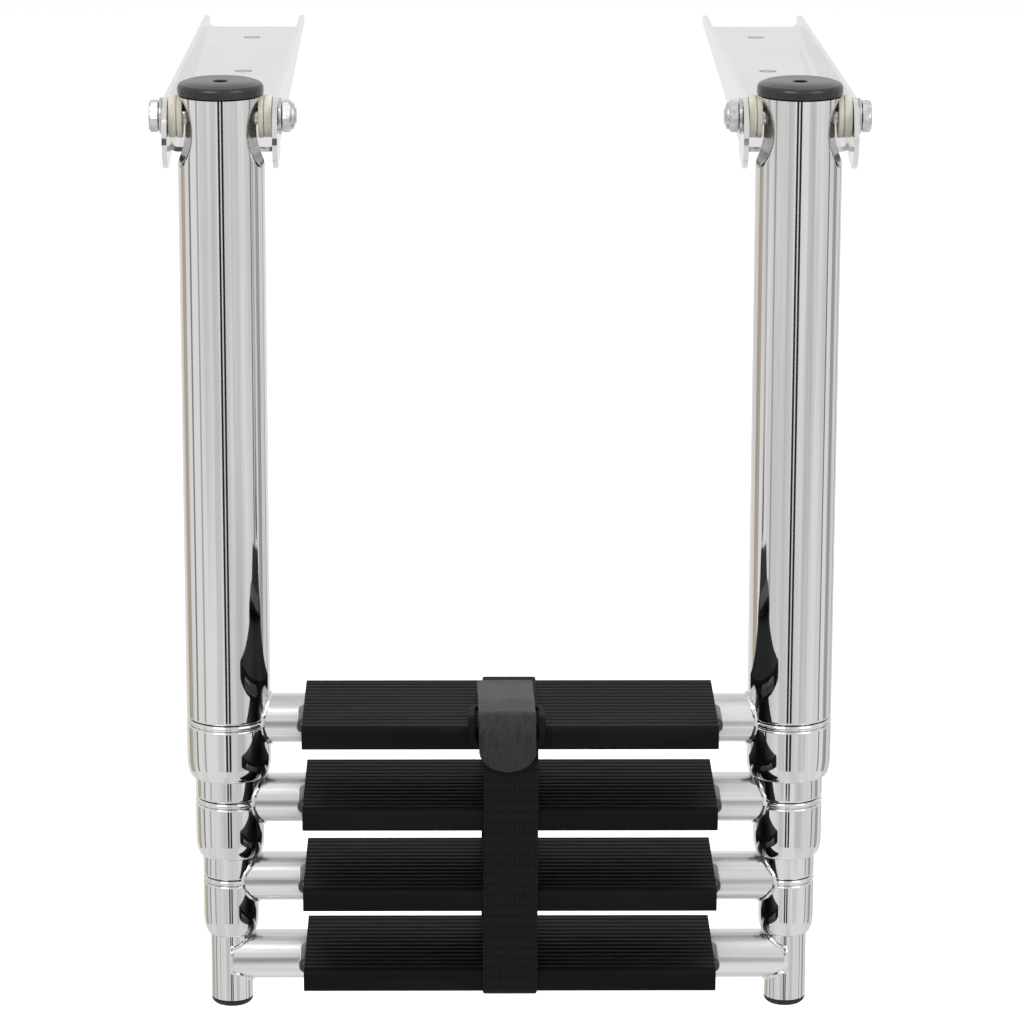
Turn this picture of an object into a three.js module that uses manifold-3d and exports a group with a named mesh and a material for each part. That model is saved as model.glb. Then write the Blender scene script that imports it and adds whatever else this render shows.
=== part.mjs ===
// Telescoping boat boarding ladder, stowed: four stile pairs slide inside each other, each pair carries one
// rung with a ribbed tread, and the top pair hinges in two deck brackets.
// Millimetres. X runs across the ladder, -Y faces the climber, +Z is up.
// z = 0 is the deck that the brackets lie on.

import * as THREE from 'three';
import { mergeVertices } from 'three/addons/utils/BufferGeometryUtils.js';
import Module from 'manifold-3d';

const wasm = await Module();
wasm.setup();

// ---- driving dimensions ----
const STILE_SPACING = 252;
const PIVOT_Z = 20;
const GAP = 0.3;
const ROUND = 20;

const STILE_RADII = [19, 15.5, 12.5, 9.5];
const STILE_WALLS = [1.5, 1.4, 1.3, 1.3];
const FIRST_RUNG_Z = -254;
const RUNG_PITCH = 37.5;
const STILE_1_TOP = 29.5;
const STILE_2_TOP = -14;
const FOOT_BELOW_RUNG = 23;
const FOOT_HEIGHT = 3.5;

const COLLAR_LENGTH = 26;
const COLLAR_TAPER = 2.2;
const COLLAR_TAPER_HEIGHT = 8;
const BEAD_RADIUS = 1.2;
const BUSHING_LENGTH = 13;

const CAP_RADIUS = 18.8;
const CAP_HEIGHT = 5.5;
const CAP_HOLE_RADIUS = 3.1;

const FLAT_HALF_WIDTH = 16.2;
const FLAT_BOTTOM_Z = 2;
const FLAT_RUNOUT_Z = -9;

const RUNG_RADIUS = 11.1;
const RUNG_WALL = 1.5;

const TREAD_LENGTH = 183;
const TREAD_TOP = 13;
const TREAD_FRONT = -57;
const TREAD_BACK = 15.5;
const TREAD_THICKNESS = 10.5;
const TREAD_WALL = 1.8;
const SHELL_RADIUS = RUNG_RADIUS + GAP + 2.7; // the tread's round part, about the rung
const NOSE_ROUND = 3.5;
const RIB_COUNT = 14;
const RIB_DEPTH = 0.8;
const PLUG_PROUD = 2.4;
const PLUG_BEVEL = 1.2;
const PLUG_SETBACK = 17; // from the tread's nose to the end of its hollow
const PLUG_DEPTH = 8;

const BRACKET_HALF_WIDTH = 25;
const BRACKET_SHEET = 2.2;
const BRACKET_BEND = 5;
const BRACKET_FRONT = -16;
const BRACKET_BACK = 354;
const FLANGE_FRONT_HEIGHT = 28;
const FLANGE_BACK_HEIGHT = 8.5;
const EAR_DROP = 3; // how far the ears reach below the deck plane, in front of the deck's edge
const EAR_BACK = 24;
const SCREW_HOLES_Y = [220, 320];
const SCREW_HOLE_RADIUS = 4.2;

const BOLT_RADIUS = 4;
const BOLT_HOLE_RADIUS = 4.3;
const HEX_ACROSS_FLATS = 13;
const HEAD_HEIGHT = 4.2;
const NUT_HEIGHT = 5.4;
const WASHER_RADIUS = 8;
const WASHER_THICKNESS = 1.2;
const SPACER_RADIUS = 9.5;
const SLEEVE_RADIUS = 6.5;

const STRAP_WIDTH = 24;
const STRAP_THICKNESS = 1.6;
const STRAP_CLEARANCE = 0.8;
const FLAP_WIDTH = 25;
const FLAP_MIDDLE_X = -1.5;
const FLAP_TIP_Z = -260.5;
const FLAP_SETBACK = 13.5; // how far it stops short of the tread's back edge
const BUCKLE_WIDTH = 34;
const BUCKLE_LENGTH = 16;
const BUCKLE_DROP = 5;
const BUCKLE_BAR = 3.4;
const BUCKLE_INNER = NOSE_ROUND + STRAP_CLEARANCE + STRAP_THICKNESS + GAP;
const BUCKLE_OUTER = BUCKLE_INNER + 2.2;

// ---- materials ----
const polishedSteel = new THREE.MeshStandardMaterial({ color: 0xd9d9d8, roughness: 0.08, metalness: 1 });
const brushedSteel = new THREE.MeshStandardMaterial({ color: 0xcfcfcf, roughness: 0.3, metalness: 1 });
const blackPlastic = new THREE.MeshStandardMaterial({ color: 0x1d2022, roughness: 0.45, metalness: 0 });
const blackRubber = new THREE.MeshStandardMaterial({ color: 0x17191a, roughness: 0.7, metalness: 0 });
const nylon = new THREE.MeshStandardMaterial({ color: 0xcac6b8, roughness: 0.5, metalness: 0 });
const webbing = new THREE.MeshStandardMaterial({ color: 0x17191c, roughness: 0.95, metalness: 0 });
const flapWebbing = new THREE.MeshStandardMaterial({ color: 0x3a3a40, roughness: 0.95, metalness: 0 });

const ladder = new THREE.Group();

// ---- solids ----

// Merges shared vertices, drops empty triangles and turns the faces outwards.
function closed(geometry) {
  let bare = geometry.clone();
  bare.deleteAttribute('normal');
  bare.deleteAttribute('uv');
  bare = mergeVertices(bare, 1e-4);
  const place = bare.getAttribute('position');
  const index = bare.getIndex().array;
  const corners = [new THREE.Vector3(), new THREE.Vector3(), new THREE.Vector3()];
  const kept = [];
  let volume = 0;
  for (let i = 0; i < index.length; i += 3) {
    const [a, b, c] = [index[i], index[i + 1], index[i + 2]];
    if (a === b || b === c || c === a) continue;
    kept.push(a, b, c);
    [a, b, c].forEach((n, k) => corners[k].fromBufferAttribute(place, n));
    volume += corners[0].dot(corners[1].clone().cross(corners[2]));
  }
  if (volume < 0) kept.reverse();
  bare.setIndex(kept);
  return bare;
}

function solid(geometry) {
  const bare = closed(geometry);
  return new wasm.Manifold(new wasm.Mesh({
    numProp: 3,
    vertProperties: new Float32Array(bare.getAttribute('position').array),
    triVerts: new Uint32Array(bare.getIndex().array),
  }));
}

function geometryOf(manifold) {
  const mesh = manifold.getMesh();
  const geometry = new THREE.BufferGeometry();
  geometry.setAttribute('position', new THREE.BufferAttribute(new Float32Array(mesh.vertProperties), 3));
  geometry.setIndex(new THREE.BufferAttribute(new Uint32Array(mesh.triVerts), 1));
  return geometry;
}

function add(name, geometry, material, x = 0, y = 0, z = 0) {
  const mesh = new THREE.Mesh(geometry, material);
  mesh.name = name;
  mesh.position.set(x, y, z);
  ladder.add(mesh);
}

// Turns a profile of [radius, height] points about Z.
function turned(points, segments = ROUND) {
  const profile = points.map(([r, h]) => new THREE.Vector2(r, h));
  return closed(new THREE.LatheGeometry(profile, segments).rotateX(Math.PI / 2));
}

// A ring or, with no inner radius, a disc about Z, with rounded outer edges where radii are given.
function ring(outer, inner, bottom, top, roundBottom = 0, roundTop = 0, segments = ROUND) {
  const points = [[inner, bottom], ...corner(outer, bottom, roundBottom, false)];
  points.push(...corner(outer, top, roundTop, true), [inner, top]);
  if (inner > 0) points.push([inner, bottom]);
  return turned(points, segments);
}

// The points of a quarter-round outer edge, going up the profile.
function corner(radius, height, round, upper, steps = 3) {
  if (round === 0) return [[radius, height]];
  const points = [];
  for (let i = 0; i <= steps; i += 1) {
    const angle = (Math.PI / 2) * (upper ? i / steps : 1 - i / steps);
    const rise = round * (1 - Math.sin(angle));
    points.push([radius - round * (1 - Math.cos(angle)), upper ? height - rise : height + rise]);
  }
  return points;
}

// Extrudes a shape drawn in the YZ plane along X, from x0 to x1.
function alongX(shape, x0, x1, options = {}) {
  const settings = { depth: x1 - x0, bevelEnabled: false, curveSegments: 5, ...options };
  const geometry = new THREE.ExtrudeGeometry(shape, settings);
  const basis = new THREE.Matrix4().makeBasis(
    new THREE.Vector3(0, 1, 0),
    new THREE.Vector3(0, 0, 1),
    new THREE.Vector3(1, 0, 0),
  );
  return closed(geometry.applyMatrix4(basis).translate(x0, 0, 0));
}

function drawn(points) {
  return new THREE.Shape(points.map(([a, b]) => new THREE.Vector2(a, b)));
}

// A slot-shaped outline with round ends, width along the first axis.
function stadium(centreA, centreB, width, height) {
  const half = width / 2 - height / 2;
  const shape = new THREE.Shape();
  shape.moveTo(centreA - half, centreB - height / 2);
  shape.lineTo(centreA + half, centreB - height / 2);
  shape.absarc(centreA + half, centreB, height / 2, -Math.PI / 2, Math.PI / 2, false);
  shape.lineTo(centreA - half, centreB + height / 2);
  shape.absarc(centreA - half, centreB, height / 2, Math.PI / 2, Math.PI * 1.5, false);
  return shape;
}

function rodAlongX(radius, x0, x1, segments = ROUND) {
  const geometry = new THREE.CylinderGeometry(radius, radius, x1 - x0, segments);
  return closed(geometry.rotateZ(Math.PI / 2).translate((x0 + x1) / 2, 0, 0));
}

function tubeAlongX(outer, inner, x0, x1, segments = ROUND) {
  return closed(ring(outer, inner, x0, x1, 0, 0, segments).rotateY(Math.PI / 2));
}

// ---- deck brackets ----

// A channel with tapering flanges, drawn about x = 0. The floor is notched in front for the swinging stile.
function bracket() {
  const half = BRACKET_HALF_WIDTH;
  const inner = half - BRACKET_SHEET;
  const outline = new THREE.Shape();
  const bend = BRACKET_BEND;
  outline.moveTo(-half, FLANGE_FRONT_HEIGHT);
  outline.lineTo(-half, bend);
  outline.absarc(-half + bend, bend, bend, Math.PI, Math.PI * 1.5, false);
  outline.lineTo(half - bend, 0);
  outline.absarc(half - bend, bend, bend, Math.PI * 1.5, Math.PI * 2, false);
  outline.lineTo(half, FLANGE_FRONT_HEIGHT);
  outline.lineTo(inner, FLANGE_FRONT_HEIGHT);
  outline.lineTo(inner, bend);
  outline.absarc(half - bend, bend, bend - BRACKET_SHEET, 0, -Math.PI / 2, true);
  outline.lineTo(-half + bend, BRACKET_SHEET);
  outline.absarc(-half + bend, bend, bend - BRACKET_SHEET, Math.PI * 1.5, Math.PI, true);
  outline.lineTo(-inner, FLANGE_FRONT_HEIGHT);
  const length = BRACKET_BACK - BRACKET_FRONT;
  const run = { depth: length, bevelEnabled: false, curveSegments: 4 };
  const channel = new THREE.ExtrudeGeometry(outline, run);
  channel.rotateX(Math.PI / 2).translate(0, BRACKET_BACK, 0);

  const side = new THREE.Shape();
  const nose = (FLANGE_FRONT_HEIGHT + EAR_DROP) / 2;
  side.moveTo(BRACKET_FRONT + nose, -EAR_DROP);
  side.lineTo(EAR_BACK, 0);
  side.lineTo(BRACKET_BACK, 0);
  side.lineTo(BRACKET_BACK, FLANGE_BACK_HEIGHT / 2);
  side.quadraticCurveTo(BRACKET_BACK, FLANGE_BACK_HEIGHT, BRACKET_BACK - 6, FLANGE_BACK_HEIGHT + 0.3);
  side.lineTo(BRACKET_FRONT + nose, FLANGE_FRONT_HEIGHT);
  side.absarc(BRACKET_FRONT + nose, nose - EAR_DROP, nose, Math.PI / 2, Math.PI * 1.5, false);

  const notchBack = STILE_RADII[0] + 3;
  const notch = new THREE.BoxGeometry(2 * inner, notchBack - BRACKET_FRONT + 1, 2 * (bend + 0.5));
  notch.translate(0, (notchBack + BRACKET_FRONT - 1) / 2, 0);
  let body = solid(channel);
  for (const x of [-half + BRACKET_SHEET / 2, half - BRACKET_SHEET / 2]) {
    const ear = new THREE.BoxGeometry(BRACKET_SHEET, EAR_BACK - BRACKET_FRONT, 2 * EAR_DROP + BRACKET_BEND);
    body = body.add(solid(ear.translate(x, (EAR_BACK + BRACKET_FRONT) / 2, BRACKET_BEND / 2)));
  }
  body = body.intersect(solid(alongX(side, -half - 1, half + 1)));
  body = body.subtract(solid(notch));
  for (const y of SCREW_HOLES_Y) {
    body = body.subtract(solid(ring(SCREW_HOLE_RADIUS, 0, -1, 5, 0, 0, 16).translate(0, y, 0)));
  }
  const boltHole = rodAlongX(BOLT_HOLE_RADIUS, -half - 1, half + 1, 16).translate(0, 0, PIVOT_Z);
  return geometryOf(body.subtract(solid(boltHole)));
}

// ---- pivot hardware, drawn for the side whose outer face looks along +X ----

function pivotBolt() {
  const washerFace = BRACKET_HALF_WIDTH + WASHER_THICKNESS + 2 * GAP;
  const nutFace = washerFace + NUT_HEIGHT;
  const shank = solid(rodAlongX(BOLT_RADIUS, -nutFace - 0.8, washerFace + 1, 14));
  const head = solid(hexAlongX(washerFace, washerFace + HEAD_HEIGHT));
  return geometryOf(shank.add(head));
}

function hexAlongX(x0, x1) {
  const radius = HEX_ACROSS_FLATS / Math.sqrt(3);
  return closed(new THREE.CylinderGeometry(radius, radius, x1 - x0, 6).rotateZ(Math.PI / 2)
    .translate((x0 + x1) / 2, 0, 0));
}

// A hexagon with a round collar that holds the nylon insert.
function lockNut() {
  const face = BRACKET_HALF_WIDTH + WASHER_THICKNESS + 2 * GAP;
  const hexHeight = NUT_HEIGHT * 0.72; // the rest is the round collar
  const collar = rodAlongX(HEX_ACROSS_FLATS / 2 - 0.4, face + hexHeight - 1, face + NUT_HEIGHT, 16);
  const body = solid(hexAlongX(face, face + hexHeight)).add(solid(collar));
  const bore = rodAlongX(BOLT_HOLE_RADIUS, face - 1, face + NUT_HEIGHT + 1, 16);
  return geometryOf(body.subtract(solid(bore)).mirror([1, 0, 0]));
}

// A flat nylon washer and a thicker boss in one piece, between an ear and the flattened stile.
function nylonSpacer() {
  const near = FLAT_HALF_WIDTH + GAP;
  const far = BRACKET_HALF_WIDTH - BRACKET_SHEET - GAP;
  const groove = near + 2.3;
  const points = [
    [BOLT_HOLE_RADIUS, near],
    [SPACER_RADIUS, near],
    [SPACER_RADIUS, groove],
    [SPACER_RADIUS - 0.8, groove + 0.3],
    [SPACER_RADIUS, groove + 0.6],
    [SPACER_RADIUS, far],
    [BOLT_HOLE_RADIUS, far],
    [BOLT_HOLE_RADIUS, near],
  ];
  return closed(turned(points, 16).rotateY(Math.PI / 2));
}

function addPivot(side, x, mirror) {
  const at = [x, 0, PIVOT_Z];
  const place = (name, geometry, material, turn = 1) => {
    const facing = turn * mirror;
    const turnedPiece = facing < 0 ? closed(geometry.clone().rotateZ(Math.PI)) : geometry;
    add(name, turnedPiece, material, ...at);
  };
  const washerFrom = BRACKET_HALF_WIDTH + GAP;
  const washer = tubeAlongX(WASHER_RADIUS, BOLT_HOLE_RADIUS, washerFrom, washerFrom + WASHER_THICKNESS, 16);
  const sleeveEnd = FLAT_HALF_WIDTH - STILE_WALLS[0] - GAP;
  place(`pivot_bolt_${side}`, pivotBolt(), brushedSteel);
  place(`lock_nut_${side}`, lockNut(), brushedSteel);
  place(`head_washer_${side}`, washer, brushedSteel);
  place(`nut_washer_${side}`, washer, brushedSteel, -1);
  place(`outer_nylon_spacer_${side}`, nylonSpacer(), nylon);
  place(`inner_nylon_spacer_${side}`, nylonSpacer(), nylon, -1);
  const sleeve = tubeAlongX(SLEEVE_RADIUS, BOLT_HOLE_RADIUS, -sleeveEnd, sleeveEnd, 16);
  place(`crush_sleeve_${side}`, sleeve, brushedSteel);
}

// ---- stiles ----

function rungZ(section) {
  return FIRST_RUNG_Z - section * RUNG_PITCH;
}

function stileTop(section) {
  return section === 0 ? STILE_1_TOP : STILE_2_TOP - (section - 1) * RUNG_PITCH;
}

function stileBottom(section) {
  const footTop = rungZ(section) - FOOT_BELOW_RUNG + FOOT_HEIGHT;
  return section === 3 ? footTop : rungZ(section) + BEAD_RADIUS + GAP;
}

// The part of space inside the two side flats that are pressed into the top of the first stile.
function betweenFlats(inset) {
  const wide = STILE_RADII[0] + 1;
  const flat = FLAT_HALF_WIDTH - inset;
  const bottom = stileBottom(0) - 2;
  const top = STILE_1_TOP + 2;
  const outline = drawn([
    [-wide, bottom],
    [wide, bottom],
    [wide, FLAT_RUNOUT_Z - inset],
    [flat, FLAT_BOTTOM_Z - inset],
    [flat, top],
    [-flat, top],
    [-flat, FLAT_BOTTOM_Z - inset],
    [-wide, FLAT_RUNOUT_Z - inset],
  ]);
  const depth = 2 * wide;
  const block = new THREE.ExtrudeGeometry(outline, { depth, bevelEnabled: false });
  return solid(block.rotateX(Math.PI / 2).translate(0, wide, 0));
}

function topStile() {
  const radius = STILE_RADII[0];
  const wall = STILE_WALLS[0];
  const bottom = stileBottom(0);
  const outside = solid(ring(radius, 0, bottom, STILE_1_TOP, 1.4)).intersect(betweenFlats(0));
  const inside = solid(ring(radius - wall, 0, bottom - 1, STILE_1_TOP + 1)).intersect(betweenFlats(wall));
  const boltHole = rodAlongX(BOLT_HOLE_RADIUS, -radius, radius, 16).translate(0, 0, PIVOT_Z);
  return geometryOf(outside.subtract(inside).subtract(solid(boltHole)));
}

function slidingStile(section) {
  const radius = STILE_RADII[section];
  const round = section === 3 ? 0 : 1.2;
  return ring(radius, radius - STILE_WALLS[section], stileBottom(section), stileTop(section), round);
}

// A short end collar below the rung, with a weld bead round its top. The next stile slides through it.
function endCollar(section) {
  const radius = STILE_RADII[section];
  const bore = STILE_RADII[section + 1] + 0.4;
  const seam = rungZ(section);
  const bottom = seam - COLLAR_LENGTH;
  const bead = [-1, 0, 1].map((step) => {
    const bulge = Math.sqrt(1 - step * step);
    return [radius - BEAD_RADIUS + BEAD_RADIUS * bulge * 0.9, seam + step * BEAD_RADIUS];
  });
  const taper = [0, 1, 2, 3].map((step) => {
    const angle = (step / 3) * (Math.PI / 2);
    const height = bottom + COLLAR_TAPER_HEIGHT * (1 - Math.cos(angle));
    return [radius - COLLAR_TAPER * (1 - Math.sin(angle)), height];
  });
  const top = corner(radius, seam - BEAD_RADIUS, 0.9, true, 1);
  return turned([
    [bore, bottom],
    ...taper,
    ...top,
    ...bead.slice(1),
    [bore, seam + BEAD_RADIUS],
    [bore, bottom],
  ]);
}

// A plastic sleeve with a lip that sits on the top end of a sliding stile and guides it in the next one out.
function guideBushing(section) {
  const outer = STILE_RADII[section - 1] - STILE_WALLS[section - 1] - GAP;
  const inner = STILE_RADII[section] + GAP;
  const bore = STILE_RADII[section] - STILE_WALLS[section];
  const top = stileTop(section);
  return turned([
    [inner, top - BUSHING_LENGTH],
    [outer, top - BUSHING_LENGTH],
    [outer, top + 2],
    [bore, top + 2],
    [bore, top + GAP],
    [inner, top + GAP],
    [inner, top - BUSHING_LENGTH],
  ]);
}

// A disc cap with a short stem and a small blind hole in its top.
function topCap() {
  const under = STILE_1_TOP + GAP;
  const top = under + CAP_HEIGHT;
  const stem = FLAT_HALF_WIDTH - STILE_WALLS[0] - 0.6;
  return turned([
    [0, under - 3.2],
    [stem, under - 3.2],
    [stem, under],
    ...corner(CAP_RADIUS, under, 1, false, 1),
    ...corner(CAP_RADIUS, top, 1.6, true, 2),
    [CAP_HOLE_RADIUS, top],
    [CAP_HOLE_RADIUS, top - 3],
    [0, top - 3],
  ]);
}

// A rubber plug with a domed tread-down end, in the bottom of the last stile.
function rubberFoot() {
  const bottom = rungZ(3) - FOOT_BELOW_RUNG;
  const radius = STILE_RADII[3];
  const shoulder = bottom + FOOT_HEIGHT - GAP;
  const stem = radius - STILE_WALLS[3] - GAP;
  return turned([
    [0, bottom],
    ...corner(radius, bottom, 3, false, 3),
    [radius, shoulder],
    [stem, shoulder],
    [stem, shoulder + 10],
    [0, shoulder + 10],
  ]);
}

// ---- rungs and treads ----

// A tube from stile to stile, its ends coped round them.
function rung(section) {
  const half = STILE_SPACING / 2;
  let tube = solid(tubeAlongX(RUNG_RADIUS, RUNG_RADIUS - RUNG_WALL, -half, half));
  for (const x of [-half, half]) {
    const stile = ring(STILE_RADII[section] + GAP, 0, -30, 30).translate(x, 0, 0);
    tube = tube.subtract(solid(stile));
  }
  return geometryOf(tube);
}

function plugOutline(shrink) {
  const front = TREAD_FRONT + PLUG_SETBACK;
  const back = -RUNG_RADIUS - GAP - TREAD_WALL;
  const height = TREAD_THICKNESS - 2 * TREAD_WALL;
  const level = TREAD_TOP - TREAD_THICKNESS / 2;
  return stadium((front + back) / 2, level, back - front - 2 * shrink, height - 2 * shrink);
}

// The tread's section: a ribbed flat top, a rounded hollow nose in front and a round shell about the rung.
function treadSection() {
  const bottom = TREAD_TOP - TREAD_THICKNESS;
  const shape = new THREE.Shape();
  const joinAngle = Math.PI - Math.asin(bottom / SHELL_RADIUS);
  shape.moveTo(TREAD_FRONT + NOSE_ROUND, bottom);
  shape.lineTo(SHELL_RADIUS * Math.cos(joinAngle), bottom);
  shape.absarc(0, 0, SHELL_RADIUS, joinAngle, Math.PI * 2, false);
  shape.lineTo(TREAD_BACK, TREAD_TOP - 1);
  shape.lineTo(TREAD_BACK, TREAD_TOP);
  const pitch = (TREAD_BACK - TREAD_FRONT - NOSE_ROUND - 1) / RIB_COUNT;
  for (let i = 0; i < RIB_COUNT; i += 1) {
    const back = TREAD_BACK - 1 - i * pitch;
    shape.lineTo(back, TREAD_TOP);
    shape.lineTo(back - pitch * 0.15, TREAD_TOP - RIB_DEPTH);
    shape.lineTo(back - pitch * 0.4, TREAD_TOP - RIB_DEPTH);
    shape.lineTo(back - pitch * 0.55, TREAD_TOP);
  }
  shape.lineTo(TREAD_FRONT + NOSE_ROUND, TREAD_TOP);
  shape.absarc(TREAD_FRONT + NOSE_ROUND, TREAD_TOP - NOSE_ROUND, NOSE_ROUND, Math.PI / 2, Math.PI, false);
  shape.lineTo(TREAD_FRONT, bottom + NOSE_ROUND);
  shape.absarc(TREAD_FRONT + NOSE_ROUND, bottom + NOSE_ROUND, NOSE_ROUND, Math.PI, Math.PI * 1.5, false);
  const bore = new THREE.EllipseCurve(0, 0, RUNG_RADIUS + GAP, RUNG_RADIUS + GAP).getPoints(ROUND).slice(1);
  shape.holes.push(new THREE.Path(bore), new THREE.Path(plugOutline(0).getPoints(5)));
  return shape;
}

function treadPlug() {
  const end = TREAD_LENGTH / 2;
  const bevel = {
    bevelEnabled: true,
    bevelThickness: PLUG_BEVEL,
    bevelSize: PLUG_BEVEL,
    bevelSegments: 1,
    bevelOffset: -PLUG_BEVEL,
    curveSegments: 4,
  };
  const outline = plugOutline(GAP);
  return alongX(outline, end - PLUG_DEPTH + PLUG_BEVEL, end + PLUG_PROUD - PLUG_BEVEL, bevel);
}

// ---- retaining strap ----

// The convex loop that a band takes round the treads, at a distance from their surfaces.
function strapLoop(distance) {
  const top = rungZ(0) + TREAD_TOP;
  const lowest = rungZ(3);
  const lip = lowest + TREAD_TOP - TREAD_THICKNESS;
  const slope = Math.atan2(lip - (lowest - SHELL_RADIUS), -TREAD_FRONT);
  const shape = new THREE.Shape();
  const noseY = TREAD_FRONT + NOSE_ROUND;
  shape.absarc(TREAD_BACK - SHELL_RADIUS, lowest, SHELL_RADIUS + distance, 0, -Math.PI / 2 - slope, true);
  shape.absarc(noseY, lip + NOSE_ROUND, NOSE_ROUND + distance, -Math.PI / 2 - slope, -Math.PI, true);
  shape.absarc(noseY, top - NOSE_ROUND, NOSE_ROUND + distance, Math.PI, Math.PI / 2, true);
  shape.absarc(TREAD_BACK - 1, top - 1, 1 + distance, Math.PI / 2, 0, true);
  return shape;
}

function strapBand() {
  const half = STRAP_WIDTH / 2;
  const outside = solid(alongX(strapLoop(STRAP_CLEARANCE + STRAP_THICKNESS), -half, half));
  return geometryOf(outside.subtract(solid(alongX(strapLoop(STRAP_CLEARANCE), -half - 1, half + 1))));
}

// A strip over the top of the first tread, round its nose and down its front. inner and outer are distances
// from the nose's centre, length runs back from it and drop runs down from it.
function overNose(inner, outer, length, drop) {
  const y = TREAD_FRONT + NOSE_ROUND;
  const z = rungZ(0) + TREAD_TOP - NOSE_ROUND;
  const shape = new THREE.Shape();
  shape.moveTo(y + length, z + inner);
  shape.lineTo(y + length, z + outer);
  shape.absarc(y, z, outer, Math.PI / 2, Math.PI, false);
  shape.lineTo(y - outer, z - drop);
  shape.lineTo(y - inner, z - drop);
  shape.absarc(y, z, inner, Math.PI, Math.PI / 2, true);
  return shape;
}

// The loose end lies over the top of the first tread, over the buckle and down the front of the band.
function strapFlap() {
  const inner = BUCKLE_OUTER + GAP;
  const outer = inner + STRAP_THICKNESS;
  const back = TREAD_BACK - FLAP_SETBACK;
  const backZ = rungZ(0) + TREAD_TOP + STRAP_CLEARANCE + STRAP_THICKNESS + GAP;
  const y = TREAD_FRONT + NOSE_ROUND;
  const z = rungZ(0) + TREAD_TOP - NOSE_ROUND;
  const levelFrom = y + BUCKLE_LENGTH + 1;
  const slopeFrom = z - BUCKLE_DROP - 1;
  const tipInner = TREAD_FRONT - STRAP_CLEARANCE - STRAP_THICKNESS - GAP;
  const shape = new THREE.Shape();
  shape.moveTo(back, backZ);
  shape.lineTo(back, backZ + STRAP_THICKNESS);
  shape.lineTo(levelFrom, z + outer);
  shape.absarc(y, z, outer, Math.PI / 2, Math.PI, false);
  shape.lineTo(y - outer, slopeFrom);
  shape.lineTo(tipInner - STRAP_THICKNESS, FLAP_TIP_Z);
  shape.lineTo(tipInner, FLAP_TIP_Z);
  shape.lineTo(y - inner, slopeFrom);
  shape.absarc(y, z, inner, Math.PI, Math.PI / 2, true);
  shape.lineTo(levelFrom, z + inner);
  return alongX(shape, FLAP_MIDDLE_X - FLAP_WIDTH / 2, FLAP_MIDDLE_X + FLAP_WIDTH / 2);
}

// A curved ring under the flap that hugs the nose of the first tread. The band passes through it.
function strapBuckle() {
  const half = BUCKLE_WIDTH / 2;
  const frame = overNose(BUCKLE_INNER, BUCKLE_OUTER, BUCKLE_LENGTH, BUCKLE_DROP);
  const slotLength = BUCKLE_LENGTH - BUCKLE_BAR;
  const slot = overNose(BUCKLE_INNER - 1, BUCKLE_OUTER + 1, slotLength, BUCKLE_DROP - BUCKLE_BAR);
  const ringBody = solid(alongX(frame, FLAP_MIDDLE_X - half, FLAP_MIDDLE_X + half));
  const reach = half - BUCKLE_BAR;
  return geometryOf(ringBody.subtract(solid(alongX(slot, FLAP_MIDDLE_X - reach, FLAP_MIDDLE_X + reach))));
}

// ---- assembly ----
for (const [side, sign] of [['left', -1], ['right', 1]]) {
  const x = (sign * STILE_SPACING) / 2;
  add(`bracket_${side}`, bracket(), polishedSteel, x);
  addPivot(side, x, sign);
  add(`top_cap_${side}`, topCap(), blackPlastic, x);
  add(`stile_1_${side}`, topStile(), polishedSteel, x);
  for (const section of [1, 2, 3]) {
    add(`end_collar_${section}_${side}`, endCollar(section - 1), polishedSteel, x);
    add(`stile_${section + 1}_${side}`, slidingStile(section), polishedSteel, x);
    add(`guide_bushing_${section + 1}_${side}`, guideBushing(section), nylon, x);
  }
  add(`rubber_foot_${side}`, rubberFoot(), blackRubber, x);
}

for (const section of [0, 1, 2, 3]) {
  const number = section + 1;
  const z = rungZ(section);
  const half = TREAD_LENGTH / 2;
  add(`rung_tube_${number}`, rung(section), polishedSteel, 0, 0, z);
  add(`tread_${number}`, alongX(treadSection(), -half, half), blackPlastic, 0, 0, z);
  add(`tread_plug_${number}_right`, treadPlug(), blackPlastic, 0, 0, z);
  const leftPlug = closed(treadPlug().applyMatrix4(new THREE.Matrix4().makeScale(-1, 1, 1)));
  add(`tread_plug_${number}_left`, leftPlug, blackPlastic, 0, 0, z);
}

add('strap_band', strapBand(), webbing);
add('strap_flap', strapFlap(), flapWebbing);
add('strap_buckle', strapBuckle(), blackPlastic);

export default ladder;
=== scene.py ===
"""The looks of the boat boarding ladder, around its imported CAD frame.

Metres. X runs across the ladder, -Y faces the climber and +Z is up.
"""

import math

import bmesh
import bpy
from mathutils import Matrix, Vector


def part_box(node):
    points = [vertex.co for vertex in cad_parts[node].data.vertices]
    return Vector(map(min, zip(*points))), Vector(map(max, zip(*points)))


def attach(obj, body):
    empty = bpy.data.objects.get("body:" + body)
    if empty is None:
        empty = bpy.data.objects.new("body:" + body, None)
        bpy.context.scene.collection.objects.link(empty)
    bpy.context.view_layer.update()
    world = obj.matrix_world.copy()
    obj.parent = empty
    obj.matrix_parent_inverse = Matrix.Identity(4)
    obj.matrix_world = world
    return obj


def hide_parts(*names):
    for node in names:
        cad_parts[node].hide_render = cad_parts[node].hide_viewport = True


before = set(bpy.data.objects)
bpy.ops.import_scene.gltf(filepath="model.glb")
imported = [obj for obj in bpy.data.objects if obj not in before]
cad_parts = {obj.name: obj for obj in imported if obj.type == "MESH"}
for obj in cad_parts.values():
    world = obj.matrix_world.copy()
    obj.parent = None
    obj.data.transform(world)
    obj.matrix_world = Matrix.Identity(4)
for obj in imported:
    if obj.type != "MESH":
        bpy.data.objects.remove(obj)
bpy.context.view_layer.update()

MM = 0.001
SIDES = ("left", "right")
ROUND = 96  # segments round a turned piece
RUNG_SEGMENTS = 128

# ---------------------------------------------------------------- sizes taken from the frame


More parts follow.
